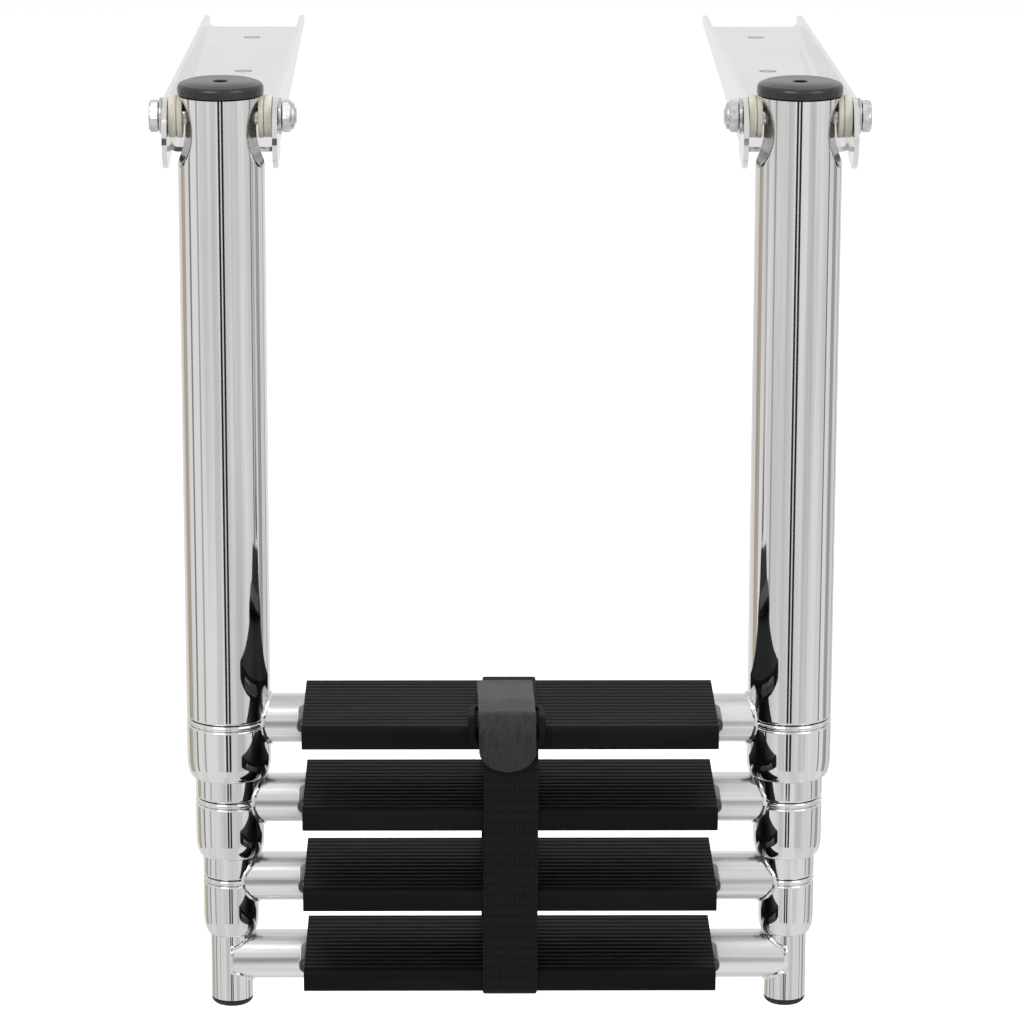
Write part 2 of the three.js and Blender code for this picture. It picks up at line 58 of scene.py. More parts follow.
def middle(node):
    lo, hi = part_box(node)
    return (lo + hi) / 2


def size(node):
    lo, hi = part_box(node)
    return hi - lo


PIVOT_Z = middle("head_washer_right").z
STILE_X = middle("stile_1_right").x
STILE_R = {n: size(f"stile_{n}_right").x / 2 for n in (1, 2, 3, 4)}
STILE_WALL = {1: 1.5 * MM, 2: 1.4 * MM, 3: 1.3 * MM, 4: 1.3 * MM}
STILE_SEGMENTS = 192  # round a top stile, which is pressed in at its pivot
RUNG_R = size("rung_tube_1").z / 2
RUNG_WALL = 1.5 * MM
RUNG_Z = {n: middle(f"rung_tube_{n}").z for n in (1, 2, 3, 4)}
TREAD_LO, TREAD_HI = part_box("tread_1")
TREAD_TOP = TREAD_HI.z - RUNG_Z[1]
SHELL_R = RUNG_Z[1] - TREAD_LO.z
TREAD_THICK = 10.5 * MM
NOSE_ROUND = 3.5 * MM  # the nose that the strap bends over; the moulded tread's own is a little sharper
TREAD_NOSE = 3.2 * MM
TREAD_LIP = 2.0 * MM
RIB_COUNT = 14
# Shares of the ribs' pitch, and depths in mm.
RIB_GROOVE = ((0.0, 0), (0.1, 0.11), (0.18, 0.22), (0.27, 0.27), (0.36, 0.22), (0.44, 0.11), (0.54, 0))
PLUG_FIT = 0.3 * MM
PLUG_GAP = 0.1 * MM
PLUG_ROUND = 2.9 * MM
WELD_R = 0.95 * MM

COLLAR_GAP = 0.4 * MM
COLLAR_TAPER = 2.3 * MM
COLLAR_TAPER_HEIGHT = 8.5 * MM
BEAD_R = 1.2 * MM

CAP_RIM = 5.5 * MM
CAP_HOLE = 3.1 * MM
CAP_SPIGOT = 14 * MM

BOLT_R = 4.0 * MM
BOLT_HOLE = 4.3 * MM
BOLT_HEAD = 4.2 * MM
ACROSS_FLATS = 13 * MM
THREAD_PITCH = 1.25 * MM
THREAD_LENGTH = 11 * MM
NUT_COLLAR_R = 5.9 * MM

STRAP_THICK = 1.5 * MM
STRAP_GAP = 0.8 * MM
STRAP_CORNER = 2 * MM
FLAP_THICK = 1.6 * MM
BUCKLE_BAR = 1.7 * MM  # half the bar's width
BUCKLE_HALF = 1.1 * MM  # half its thickness
BUCKLE_RUN = 16 * MM
BUCKLE_CORNER = 4.0 * MM
BUCKLE_BED = NOSE_ROUND + 2.7 * MM  # the buckle's inner side, from the nose's centre
STRAP_STEP = 1.0 * MM

# ---------------------------------------------------------------- materials


class Nodes:
    """A small helper for building a material's node tree."""

    def __init__(self, name):
        self.material = bpy.data.materials.new(name)
        self.material.use_nodes = True
        self.tree = self.material.node_tree
        self.shader = self.tree.nodes["Principled BSDF"]

    def set(self, **values):
        for key, value in values.items():
            self.shader.inputs[key.replace("_", " ")].default_value = value

    def add(self, kind, **values):
        node = self.tree.nodes.new(kind)
        for key, value in values.items():
            if hasattr(node, key):
                setattr(node, key, value)
            else:
                node.inputs[key.replace("_", " ")].default_value = value
        return node

    def link(self, source, target):
        self.tree.links.new(source, target)

    def coordinates(self, scale=(1, 1, 1)):
        where = self.add("ShaderNodeTexCoord")
        mapping = self.add("ShaderNodeMapping")
        mapping.inputs["Scale"].default_value = scale
        self.link(where.outputs["Object"], mapping.inputs["Vector"])
        return mapping.outputs["Vector"]

    def noise(self, scale, detail=3.0, stretch=(1, 1, 1), harshness=0.5):
        node = self.add("ShaderNodeTexNoise", Scale=scale, Detail=detail, Roughness=harshness)
        self.link(self.coordinates(stretch), node.inputs["Vector"])
        return node.outputs["Fac"]

    def colour(self, factor, low, high, start=0.35, end=0.65):
        """Runs the base colour from low to high as the factor goes from start to end."""
        node = self.add("ShaderNodeValToRGB")
        node.color_ramp.elements[0].position = start
        node.color_ramp.elements[1].position = end
        node.color_ramp.elements[0].color = low
        node.color_ramp.elements[1].color = high
        self.link(factor, node.inputs["Fac"])
        self.link(node.outputs["Color"], self.shader.inputs["Base Color"])

    def roughness(self, factor, low, high):
        node = self.add("ShaderNodeMapRange")
        node.inputs["To Min"].default_value = low
        node.inputs["To Max"].default_value = high
        self.link(factor, node.inputs["Value"])
        self.link(node.outputs["Result"], self.shader.inputs["Roughness"])

    def bump(self, height, strength, distance):
        node = self.add("ShaderNodeBump", Strength=strength, Distance=distance)
        self.link(height, node.inputs["Height"])
        self.link(node.outputs["Normal"], self.shader.inputs["Normal"])

    def add_heights(self, first, second):
        node = self.add("ShaderNodeMath", operation="ADD")
        self.link(first, node.inputs[0])
        self.link(second, node.inputs[1])
        return node.outputs["Value"]


def grey(level, tint=(1, 1, 1)):
    return (level * tint[0], level * tint[1], level * tint[2], 1)


def polished_steel():
    """Mirror-polished stainless tube: soft lengthwise polishing streaks and a very slight waviness."""
    n = Nodes("polished_steel")
    n.set(Metallic=1.0)
    streaks = n.noise(230, 3, (1, 1, 0.012), 0.6)
    n.colour(streaks, grey(0.67), grey(0.83, (1, 0.995, 0.982)), 0.38, 0.58)
    n.roughness(n.noise(900, 3, (1, 1, 0.01)), 0.03, 0.07)
    n.bump(n.noise(16, 2, (1, 1, 0.2)), 0.05, 0.0006)
    return n.material


def rung_steel():
    """Stainless rung tube: polished along X to a softer shine than the stiles."""
    n = Nodes("rung_steel")
    n.set(Metallic=1.0)
    streaks = n.noise(260, 3, (0.015, 1, 1), 0.6)
    n.colour(streaks, grey(0.70), grey(0.88, (1, 0.990, 0.975)), 0.38, 0.60)
    n.roughness(n.noise(800, 3, (0.03, 1, 1)), 0.16, 0.30)
    n.bump(n.noise(60, 2, (0.2, 1, 1)), 0.06, 0.0005)
    return n.material


def sheet_steel():
    """Polished sheet with a soft satin haze from handling."""
    n = Nodes("sheet_steel")
    n.set(Metallic=1.0)
    n.colour(n.noise(20, 4), grey(0.77), grey(0.83, (1, 0.995, 0.99)))
    n.roughness(n.noise(700, 5, (1, 0.05, 1)), 0.07, 0.15)
    n.bump(n.noise(14, 2), 0.08, 0.0008)
    return n.material


def fastener_steel():
    """Bright machined stainless of the bolts, nuts and washers."""
    n = Nodes("fastener_steel")
    n.set(Metallic=1.0)
    n.colour(n.noise(300, 4), grey(0.52), grey(0.72))
    n.roughness(n.noise(1500, 4), 0.16, 0.34)
    n.bump(n.noise(1800, 3), 0.12, 0.0002)
    return n.material


def weld_steel():
    """Ground weld bead: a little rougher and lumpier than the tube."""
    n = Nodes("weld_steel")
    n.set(Metallic=1.0)
    n.colour(n.noise(260, 4), grey(0.72), grey(0.90))
    n.roughness(n.noise(700, 4), 0.12, 0.28)
    n.bump(n.noise(420, 3), 0.3, 0.0004)
    return n.material


def tread_plastic():
    """Black moulded tread: satin, with a fine grain and slightly paler scuffs along the ribs."""
    n = Nodes("tread_plastic")
    n.set(IOR=1.49, Specular_IOR_Level=0.07)
    patches = n.noise(70, 5, (0.15, 1, 1))
    n.colour(patches, grey(0.0026, (0.85, 1.04, 1.06)), grey(0.0058, (0.85, 1.04, 1.08)))
    n.roughness(n.noise(240, 4, (0.2, 1, 1)), 0.48, 0.62)
    n.bump(n.noise(2600, 3), 0.22, 0.00012)
    return n.material


def cap_plastic():
    """Dark grey moulded plastic of the tube caps and tread plugs, smoother than the treads."""
    n = Nodes("cap_plastic")
    n.set(IOR=1.49, Specular_IOR_Level=0.5)
    n.colour(n.noise(90, 4), grey(0.013, (0.88, 1, 1.13)), grey(0.021, (0.88, 1, 1.12)))
    n.roughness(n.noise(500, 4), 0.20, 0.30)
    n.bump(n.noise(2400, 3), 0.18, 0.0001)
    return n.material


def foot_rubber():
    """Dull black rubber of the feet."""
    n = Nodes("foot_rubber")
    n.set(IOR=1.5, Specular_IOR_Level=0.3)
    n.colour(n.noise(160, 5), grey(0.008), grey(0.016))
    n.roughness(n.noise(400, 4), 0.5, 0.7)
    n.bump(n.noise(1600, 4), 0.35, 0.0002)
    return n.material


def ivory_nylon():
    """Natural nylon, slightly translucent."""
    n = Nodes("ivory_nylon")
    n.set(IOR=1.53, Subsurface_Weight=0.15, Subsurface_Scale=0.002)
    n.colour(n.noise(120, 4), (0.42, 0.40, 0.33, 1), (0.50, 0.48, 0.41, 1))
    n.roughness(n.noise(600, 4), 0.38, 0.52)
    n.bump(n.noise(1500, 3), 0.15, 0.0001)
    return n.material


def woven(name, dark, light, across, along, distance):
    """Webbing: two crossed waves make the weave. across and along are their scales."""
    n = Nodes(name)
    n.set(Sheen_Weight=0.04, Sheen_Roughness=0.5, Specular_IOR_Level=0.1)
    warp = n.add("ShaderNodeTexWave", wave_type="BANDS", bands_direction="X")
    warp.inputs["Scale"].default_value = across
    warp.inputs["Distortion"].default_value = 0.6
    n.link(n.coordinates(), warp.inputs["Vector"])
    weft = n.add("ShaderNodeTexWave", wave_type="BANDS", bands_direction="DIAGONAL")
    weft.inputs["Scale"].default_value = along
    weft.inputs["Distortion"].default_value = 0.8
    n.link(n.coordinates((0.02, 1, 1)), weft.inputs["Vector"])
    weave = n.add("ShaderNodeMath", operation="MULTIPLY")
    n.link(warp.outputs["Fac"], weave.inputs[0])
    n.link(weft.outputs["Fac"], weave.inputs[1])
    n.colour(n.add_heights(weave.outputs["Value"], n.noise(500, 3)), dark, light, 0.3, 1.4)
    n.roughness(n.noise(900, 3), 0.75, 0.95)
    n.bump(weave.outputs["Value"], 0.6, distance)
    return n.material


def loop_pile():
    """The worn loop side of hook and loop: short upright ribs pressed into a soft mottle."""
    n = Nodes("loop_pile")
    n.set(Sheen_Weight=0.10, Sheen_Roughness=0.4, Specular_IOR_Level=0.25)
    dashes = n.add("ShaderNodeTexNoise", Scale=420, Detail=1.5)
    n.link(n.coordinates((1.6, 0.35, 0.35)), dashes.inputs["Vector"])
    height = n.add_heights(dashes.outputs["Fac"], n.noise(1500, 2))
    n.colour(height, grey(0.0045, (1, 1, 1.10)), grey(0.017, (1, 1, 1.14)), 0.7, 1.25)
    n.roughness(n.noise(700, 3), 0.42, 0.62)
    n.bump(height, 0.7, 0.0006)
    return n.material


def pale_floor():
    """The plain pale floor of the studio."""
    n = Nodes("pale_floor")
    n.set(Base_Color=grey(0.92), Roughness=0.9, Specular_IOR_Level=0.0)
    return n.material


STEEL = polished_steel()
RUNG = rung_steel()
SHEET = sheet_steel()
FASTENER = fastener_steel()
WELD = weld_steel()
TREAD = tread_plastic()
CAP = cap_plastic()
RUBBER = foot_rubber()
NYLON = ivory_nylon()
BAND = woven("strap_weave", grey(0.003), grey(0.0062), 150, 130, 0.00018)
PILE = loop_pile()

# ---------------------------------------------------------------- mesh building


def piece(name, verts, faces, material, body, replaced=(), sharp=35):
    """A new object on a body, smooth but for its sharp edges, standing for the CAD nodes in replaced."""
    mesh = bpy.data.meshes.new(name)
    mesh.from_pydata([tuple(v) for v in verts], [], faces)
    return finish_piece(name, mesh, material, body, replaced, sharp)


def finish_piece(name, mesh, material, body, replaced, sharp):
    """Cleans a mesh, marks its sharp edges and makes it a piece. sharp is in degrees."""
    work = bmesh.new()
    work.from_mesh(mesh)
    bmesh.ops.remove_doubles(work, verts=work.verts, dist=1e-7)
    bmesh.ops.recalc_face_normals(work, faces=work.faces)
    for face in work.faces:
        face.smooth = True
    limit = math.radians(sharp)
    for edge in work.edges:
        edge.smooth = not edge.is_manifold or edge.calc_face_angle(0) < limit
    work.to_mesh(mesh)
    work.free()
    mesh.materials.clear()
    mesh.materials.append(material)
    obj = bpy.data.objects.new(name, mesh)
    bpy.context.scene.collection.objects.link(obj)
    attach(obj, body)
    if replaced:
        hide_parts(*replaced)
    return obj


def skin(loops, wrap):
    """Faces between loops of equal length.

    wrap joins the last loop to the first; without it, both ends are capped.
    """
    count = len(loops[0])
    verts = [p for loop in loops for p in loop]
    faces = []
    for i in range(len(loops) if wrap else len(loops) - 1):
        a, b = i * count, ((i + 1) % len(loops)) * count
        for k in range(count):
            m = (k + 1) % count
            faces.append((a + k, a + m, b + m, b + k))
    if not wrap:
        faces.append(tuple(range(count)))
        faces.append(tuple(range((len(loops) - 1) * count, len(loops) * count)))
    return verts, faces


def circle(radius, height, segments=ROUND):
    turn = 2 * math.pi / segments
    angles = [i * turn for i in range(segments)]
    return [Vector((radius * math.cos(a), radius * math.sin(a), height)) for a in angles]


def turned(profile, segments=ROUND, hollow=True):
    """Turns (radius, height) points about Z. A hollow profile closes on itself; a solid one is capped."""
    return skin([circle(max(r, 1e-5), h, segments) for r, h in profile], hollow)


def rounded(radius, height, fillet, upper, steps=6):
    """A quarter-round outer edge, going up the profile: the upper edge at this height, or the lower one."""
    points = []
    for i in range(steps + 1):
        angle = math.pi / 2 * (i / steps if upper else 1 - i / steps)
        rise = fillet * (1 - math.sin(angle))
        points.append((radius - fillet * (1 - math.cos(angle)), height - rise if upper else height + rise))
    return points


def moved(shape, offset, turn=Matrix.Identity(3)):
    """A shape turned about the origin and then shifted."""
    verts, faces = shape
    return [turn @ Vector(v) + Vector(offset) for v in verts], faces


ALONG_X = Matrix.Rotation(math.pi / 2, 3, "Y")  # takes +Z to +X


def facing(side, turn=1):
    """Takes +Z to the outward direction of a side, or inward with turn -1."""
    outward = 1 if side == "right" else -1
    return Matrix.Rotation(outward * turn * math.pi / 2, 3, "Y")


def filled_outline(name, outlines, x0, x1, bevel):
    """A mesh of closed (y, z) outlines, the first outer and the rest holes, along X with bevelled ends."""
    curve = bpy.data.curves.new(name, "CURVE")
    curve.dimensions = "2D"
    curve.fill_mode = "BOTH"
    curve.extrude = (x1 - x0) / 2 - bevel
    curve.bevel_depth = bevel
    curve.bevel_resolution = 2
    curve.offset = -bevel
    for outline in outlines:
        spline = curve.splines.new("POLY")
        spline.points.add(len(outline) - 1)
        for point, (a, b) in zip(spline.points, outline):
            point.co = (a, b, 0, 1)
        spline.use_cyclic_u = True
    holder = bpy.data.objects.new(name + "_outline", curve)
    bpy.context.scene.collection.objects.link(holder)
    bpy.context.view_layer.update()
    mesh = bpy.data.meshes.new_from_object(holder.evaluated_get(bpy.context.evaluated_depsgraph_get()))
    bpy.data.objects.remove(holder)
    bpy.data.curves.remove(curve)
    turn = Matrix(((0, 0, 1, (x0 + x1) / 2), (1, 0, 0, 0), (0, 1, 0, 0), (0, 0, 0, 1)))
    mesh.transform(turn)
    return mesh


def arc(centre, radius, start, end, steps):
    """Points of an arc in degrees, both ends included."""
    points = []
    for i in range(steps + 1):
        angle = math.radians(start + (end - start) * i / steps)
        points.append((centre[0] + radius * math.cos(angle), centre[1] + radius * math.sin(angle)))
    return points


# ---------------------------------------------------------------- stiles and their fittings

DIMPLE_Z = PIVOT_Z - 5 * MM
DIMPLE_HALF = 12.1 * MM
DIMPLE_SPREAD = 64 * MM
DIMPLE_SLOPE = 0.23
DIMPLE_EDGE_Y = 14.6 * MM
DIMPLE_SOFT = 0.5 * MM
DIMPLE_REACH = 32 * MM  # how far below the pivot the pressing is worked out


def pressed(point, inset=0.0):
    """Moves a point of the round top stile onto the dimples that are pressed into its two sides."""
    half = DIMPLE_HALF - inset + (point.z - DIMPLE_Z) ** 2 / DIMPLE_SPREAD
    half += DIMPLE_SLOPE * max(0.0, DIMPLE_EDGE_Y - abs(point.y))
    x = abs(point.x)
    gap = half - x
    if abs(gap) > DIMPLE_SOFT:
        x = min(x, half)
    else:
        x -= (DIMPLE_SOFT - gap) ** 2 / (4 * DIMPLE_SOFT)
    return Vector((math.copysign(x, point.x), point.y, point.z))


def heights(lo, hi, step):
    """Even heights from lo to hi, both included, about a step apart."""
    count = max(2, round((hi - lo) / step))
    return [lo + (hi - lo) * i / count for i in range(count + 1)]


def stile(section, side):
    """A stile tube with a rounded lower end. The top one has dimples for the bracket's ears."""
    node = f"stile_{section}_{side}"
    lo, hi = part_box(node)
    radius, wall = STILE_R[section], STILE_WALL[section]
    x = (lo.x + hi.x) / 2
    if section == 1:
        press_from = PIVOT_Z - DIMPLE_REACH
        levels = heights(press_from, hi.z, 1 * MM)
        outer = rounded(radius, lo.z, 1.4 * MM, False) + [(radius, h) for h in levels]
        inner = [(radius - wall, h) for h in reversed(levels)] + [(radius - wall, lo.z)]
        loops = []
        for profile, inset in ((outer, 0.0), (inner, wall)):
            for r, h in profile:
                loop = circle(r, h, STILE_SEGMENTS)
                loops.append([pressed(p, inset) for p in loop] if h >= press_from else loop)
        shape = skin(loops, True)
    else:
        outer = rounded(radius, lo.z, 1.2 * MM, False) if section < 4 else [(radius, lo.z)]
        profile = outer + [(radius, hi.z), (radius - wall, hi.z), (radius - wall, lo.z)]
        shape = turned(profile)
    piece(node + "_polished", *moved(shape, (x, 0, 0)), STEEL, f"section_{section}", [node])


def end_collar(section, side):
    """The collar below a rung: a weld bead, a shallow groove, then a sleeve with a rolled lower end."""
    node = f"end_collar_{section}_{side}"
    lo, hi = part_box(node)
    radius = STILE_R[section]
    bore = STILE_R[section + 1] + COLLAR_GAP
    seam = hi.z - BEAD_R
    profile = [(bore, lo.z + 0.6 * MM), (bore + 0.6 * MM, lo.z)]
    for step in range(11):
        angle = math.pi / 2 * step / 10
        inward = COLLAR_TAPER * (1 - math.sin(angle))
        profile.append((radius - inward, lo.z + COLLAR_TAPER_HEIGHT * (1 - math.cos(angle))))
    profile += rounded(radius, seam - BEAD_R - 0.2 * MM, 1.0 * MM, True, 4)
    for step in range(9):
        angle = math.radians(-70 + 140 * step / 8)
        profile.append((radius - 1.15 * MM + BEAD_R * math.cos(angle), seam + BEAD_R * math.sin(angle)))
    profile += [(radius - 1.2 * MM, hi.z), (bore, hi.z)]
    shape = moved(turned(profile), (middle(node).x, 0, 0))
    piece(node + "_polished", *shape, STEEL, f"section_{section}", [node])


def guide_bushing(section, side):
    """A nylon sleeve on a stile's upper end, with a lip over the tube's edge."""
    node = f"guide_bushing_{section}_{side}"
    lo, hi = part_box(node)
    outer = (hi.x - lo.x) / 2
    inner = STILE_R[section] + 0.3 * MM
    bore = STILE_R[section] - STILE_WALL[section]
    lip = hi.z - 1.7 * MM
    profile = [(inner, lo.z)] + rounded(outer, lo.z, 0.4 * MM, False, 3)
    profile += rounded(outer, hi.z, 0.6 * MM, True, 3) + [(bore, hi.z), (bore, lip), (inner, lip)]
    shape = moved(turned(profile), (middle(node).x, 0, 0))
    piece(node + "_moulded", *shape, NYLON, f"section_{section}", [node])


def top_cap(side):
    """The plastic cap of a top stile: a round rim with a small blind hole, over a spigot."""
    node = f"top_cap_{side}"
    lo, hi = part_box(node)
    radius = (hi.x - lo.x) / 2
    under = hi.z - CAP_RIM
    floor = hi.z - 3 * MM
    profile = [(0, lo.z), (CAP_SPIGOT, lo.z), (CAP_SPIGOT, under)]
    profile += rounded(radius, under, 0.7 * MM, False, 4)
    profile += rounded(radius, hi.z - 0.5 * MM, 2.2 * MM, True, 8)
    profile += [(radius - 3.2 * MM, hi.z), (CAP_HOLE + 0.4 * MM, hi.z), (CAP_HOLE, hi.z - 0.4 * MM)]
    profile += [(CAP_HOLE, floor), (0, floor)]
    shape = moved(turned(profile, hollow=False), (middle(node).x, 0, 0))
    piece(node + "_moulded", *shape, CAP, "section_1", [node])


def rubber_foot(side):
    """A rounded foot whose plug is pushed into the fourth stile."""
    node = f"rubber_foot_{side}"
    lo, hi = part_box(node)
    radius = (hi.x - lo.x) / 2
    plug = radius - 1.7 * MM
    profile = [(0, lo.z), (radius - 6 * MM, lo.z + 0.05 * MM)]
    profile += rounded(radius, lo.z + 0.1 * MM, 3.1 * MM, False, 10)
    profile += [(plug, hi.z - 10 * MM), (plug, hi.z), (0, hi.z)]
    shape = moved(turned(profile, hollow=False), (middle(node).x, 0, 0))
    piece(node + "_moulded", *shape, RUBBER, "section_4", [node])


# ---------------------------------------------------------------- rungs and treads


def cope(section, y):
    """How far along X a rung's wall reaches at a given y, short of the stile's axis."""
    radius = STILE_R[section]
    return STILE_X - math.sqrt(max(0.0, radius * radius - y * y))


def rung_tube(section):
    """A rung whose ends are cut to the stiles' round sides, with a weld bead at each."""
    node = f"rung_tube_{section}"
    shares = [-1, -0.985, -0.96, -0.9, 0.9, 0.96, 0.985, 1]  # of the way from the middle to an end
    loops = []
    for radius, order in ((RUNG_R, shares), (RUNG_R - RUNG_WALL, shares[::-1])):
        for share in order:
            ring = []
            for p in circle(radius, 0, RUNG_SEGMENTS):
                ring.append(Vector((share * cope(section, p.x), p.x, p.y + RUNG_Z[section])))
            loops.append(ring)
    piece(node + "_polished", *skin(loops, True), RUNG, f"section_{section}", [node])
    for side, sign in (("left", -1), ("right", 1)):
        weld_bead(section, side, sign)


def weld_bead(section, side, sign):
    """A thin ground bead where the rung meets the stile."""
    path = []
    for p in circle(RUNG_R + 0.1 * MM, 0, RUNG_SEGMENTS):
        path.append(Vector((sign * (cope(section, p.x) - 0.2 * MM), p.x, p.y + RUNG_Z[section])))
    loops = []
    for i, at in enumerate(path):
        ahead = (path[(i + 1) % len(path)] - path[i - 1]).normalized()
        out = Vector((0, at.y, at.z - RUNG_Z[section])).normalized()
        aside = ahead.cross(out).normalized()
        out = aside.cross(ahead).normalized()
        bead = WELD_R + 0.07 * MM * math.sin(i * 0.9)
        loops.append([at + bead * (math.cos(a) * out + math.sin(a) * aside)
                      for a in [2 * math.pi * k / 8 for k in range(8)]])
    piece(f"weld_{section}_{side}", *skin(loops, True), WELD, f"section_{section}")


def tread_outline():
    """The tread's section in (y, z): ribbed top, rounded nose and a round shell about the rung."""
    front, back = TREAD_LO.y, TREAD_HI.y
    bottom = TREAD_TOP - TREAD_THICK
    join = math.degrees(math.pi - math.asin(bottom / SHELL_R))
    points = arc((0, 0), SHELL_R, join, 350, 40)
    points += [(back, TREAD_TOP - 1.2 * MM), (back - 0.4 * MM, TREAD_TOP - 0.1 * MM)]
    pitch = (back - front - TREAD_NOSE - 1 * MM) / RIB_COUNT
    for i in range(RIB_COUNT):
        start = back - 1 * MM - i * pitch
        points += [(start - share * pitch, TREAD_TOP - depth * MM) for share, depth in RIB_GROOVE]
    points += arc((front + TREAD_NOSE, TREAD_TOP - TREAD_NOSE), TREAD_NOSE, 90, 180, 8)
    points += [(front, bottom + 3.4 * MM), (front, bottom + 2.6 * MM)]
    points += arc((front + TREAD_LIP, bottom + TREAD_LIP), TREAD_LIP, 180, 270, 6)
    return points


def plug_outline(shrink):
    """A slot shape with round ends, inside the tread's hollow nose."""
    lo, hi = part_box("tread_plug_1_right")
    level = (lo.z + hi.z) / 2 - RUNG_Z[1]
    radius = (hi.z - lo.z) / 2 + PLUG_FIT - shrink
    front = lo.y - PLUG_FIT + shrink + radius
    back = hi.y + PLUG_FIT - shrink - radius
    return arc((back, level), radius, -90, 90, 12) + arc((front, level), radius, 90, 270, 12)


def tread(section):
    """A ribbed tread and the domed plug in each of its ends."""
    node = f"tread_{section}"
    half = TREAD_HI.x
    bore = arc((0, 0), RUNG_R + 0.15 * MM, 360, 360 / 64, 63)
    outlines = [tread_outline(), bore, plug_outline(0)]
    mesh = filled_outline(node, outlines, -half, half, 0.35 * MM)
    mesh.transform(Matrix.Translation((0, 0, RUNG_Z[section])))
    finish_piece(node + "_moulded", mesh, TREAD, f"section_{section}", [node], 32)
    for side, sign in (("left", -1), ("right", 1)):
        plug = f"tread_plug_{section}_{side}"
        lo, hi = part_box(plug)
        base, top = (hi.x, lo.x) if side == "left" else (lo.x, hi.x)
        proud = (top - sign * half) * 1.15
        loops = [[Vector((base, a, b)) for a, b in plug_outline(PLUG_GAP)]]
        for step in range(9):
            lift = math.sin(math.pi / 2 * step / 8)
            shrink = PLUG_GAP + PLUG_ROUND * (1 - math.sqrt(max(0.0, 1 - lift * lift)))
            loops.append([Vector((sign * half + proud * lift, a, b)) for a, b in plug_outline(shrink)])
        verts, faces = moved(skin(loops, False), (0, 0, RUNG_Z[section]))
        piece(plug + "_moulded", verts, faces, CAP, f"section_{section}", [plug], 60)


# ---------------------------------------------------------------- brackets and pivots


def bracket(side):
    """The folded bracket: its CAD shape with softened edges."""
    node = f"bracket_{side}"
    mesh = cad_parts[node].data.copy()
    work = bmesh.new()
    work.from_mesh(mesh)
    bmesh.ops.remove_doubles(work, verts=work.verts, dist=1e-6)
    bmesh.ops.dissolve_limit(work, angle_limit=math.radians(1), verts=work.verts, edges=work.edges)
    work.to_mesh(mesh)
    work.free()
    obj = finish_piece(node + "_folded", mesh, SHEET, "root", [node], 40)
    round_off = obj.modifiers.new("edges", "BEVEL")
    round_off.width = 0.35 * MM
    round_off.segments = 3
    round_off.limit_method = "ANGLE"
    round_off.angle_limit = math.radians(50)
    obj.modifiers.new("normals", "WEIGHTED_NORMAL").keep_sharp = True


def hexagon(across_flats, bottom, top, chamfer):
    """A hexagon prism about Z whose far corners are turned off, as on a bolt head."""
    corner = across_flats / math.sqrt(3)
    face = across_flats * 0.47
    segments = 72

    def ring(limit, height):
        points = []
        for i in range(segments):
            angle = 2 * math.pi * i / segments
            local = (angle + math.pi / 6) % (math.pi / 3) - math.pi / 6
            flat = corner * math.cos(math.pi / 6) / math.cos(local)
            radius = min(flat, limit)
            points.append(Vector((radius * math.cos(angle), radius * math.sin(angle), height)))
        return points

    loops = [ring(face, bottom), ring(corner, bottom + chamfer * 0.3)]
    for step in range(6):
        share = step / 5
        loops.append(ring(corner - (corner - face) * share, top - chamfer * (1 - share)))
    return loops


def join_shapes(shapes):
    """One shape of several, which may overlap."""
    verts, faces = [], []
    for some_verts, some_faces in shapes:
        start = len(verts)
        verts += list(some_verts)
        faces += [tuple(start + i for i in face) for face in some_faces]
    return verts, faces


def pivot_bolt(side):
    """A hexagon-head bolt whose thread shows past its nut."""
    node = f"pivot_bolt_{side}"
    x = middle(f"bracket_{side}").x
    lo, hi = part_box(node)
    outer = (hi.x - x) if side == "right" else (x - lo.x)
    inner = (hi.x - lo.x) - outer
    head = hexagon(ACROSS_FLATS, outer - BOLT_HEAD, outer, 1.1 * MM)
    shank = [(0, -inner), (BOLT_R - 0.8 * MM, -inner)]
    root = BOLT_R - 0.65 * MM
    under_head = outer - 4.0 * MM
    at = -inner + 0.3 * MM
    while at < -inner + THREAD_LENGTH:
        crest = [(BOLT_R, at + THREAD_PITCH * 0.45), (BOLT_R, at + THREAD_PITCH * 0.55)]
        at += THREAD_PITCH
        shank += crest + [(root, at)]
    shank += [(BOLT_R, at + 0.4 * MM), (BOLT_R, under_head), (0, under_head)]
    body = join_shapes([skin(head, False), turned(shank, 40, False)])
    piece(node + "_machined", *moved(body, (x, 0, PIVOT_Z), facing(side)), FASTENER, "root", [node], 28)


def lock_nut(side):
    """A hexagon nut with the rounded collar of a nylon insert."""
    node = f"lock_nut_{side}"
    x = middle(f"bracket_{side}").x
    lo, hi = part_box(node)
    near = min(abs(lo.x - x), abs(hi.x - x))
    far = max(abs(lo.x - x), abs(hi.x - x))
    shoulder = near + (far - near) * 0.7
    hexes = hexagon(ACROSS_FLATS, near, near + (far - near) * 0.74, 0.9 * MM)
    collar = [(NUT_COLLAR_R, shoulder)] + rounded(NUT_COLLAR_R, far, 1.0 * MM, True, 5)
    collar += [(BOLT_HOLE, far), (BOLT_HOLE, shoulder)]
    insert_r = (4.05 * MM, 4.9 * MM)
    insert_z = (far - 0.6 * MM, far - 0.35 * MM)
    insert = [(insert_r[1], insert_z[0]), (insert_r[1], insert_z[1])]
    insert += [(insert_r[0], insert_z[1]), (insert_r[0], insert_z[0])]
    turn = facing(side, -1)
    shape = join_shapes([skin(hexes, False), turned(collar, 48)])
    piece(node + "_machined", *moved(shape, (x, 0, PIVOT_Z), turn), FASTENER, "root", [node], 28)
    piece(f"nut_insert_{side}", *moved(turned(insert, 48), (x, 0, PIVOT_Z), turn), NYLON, "root")


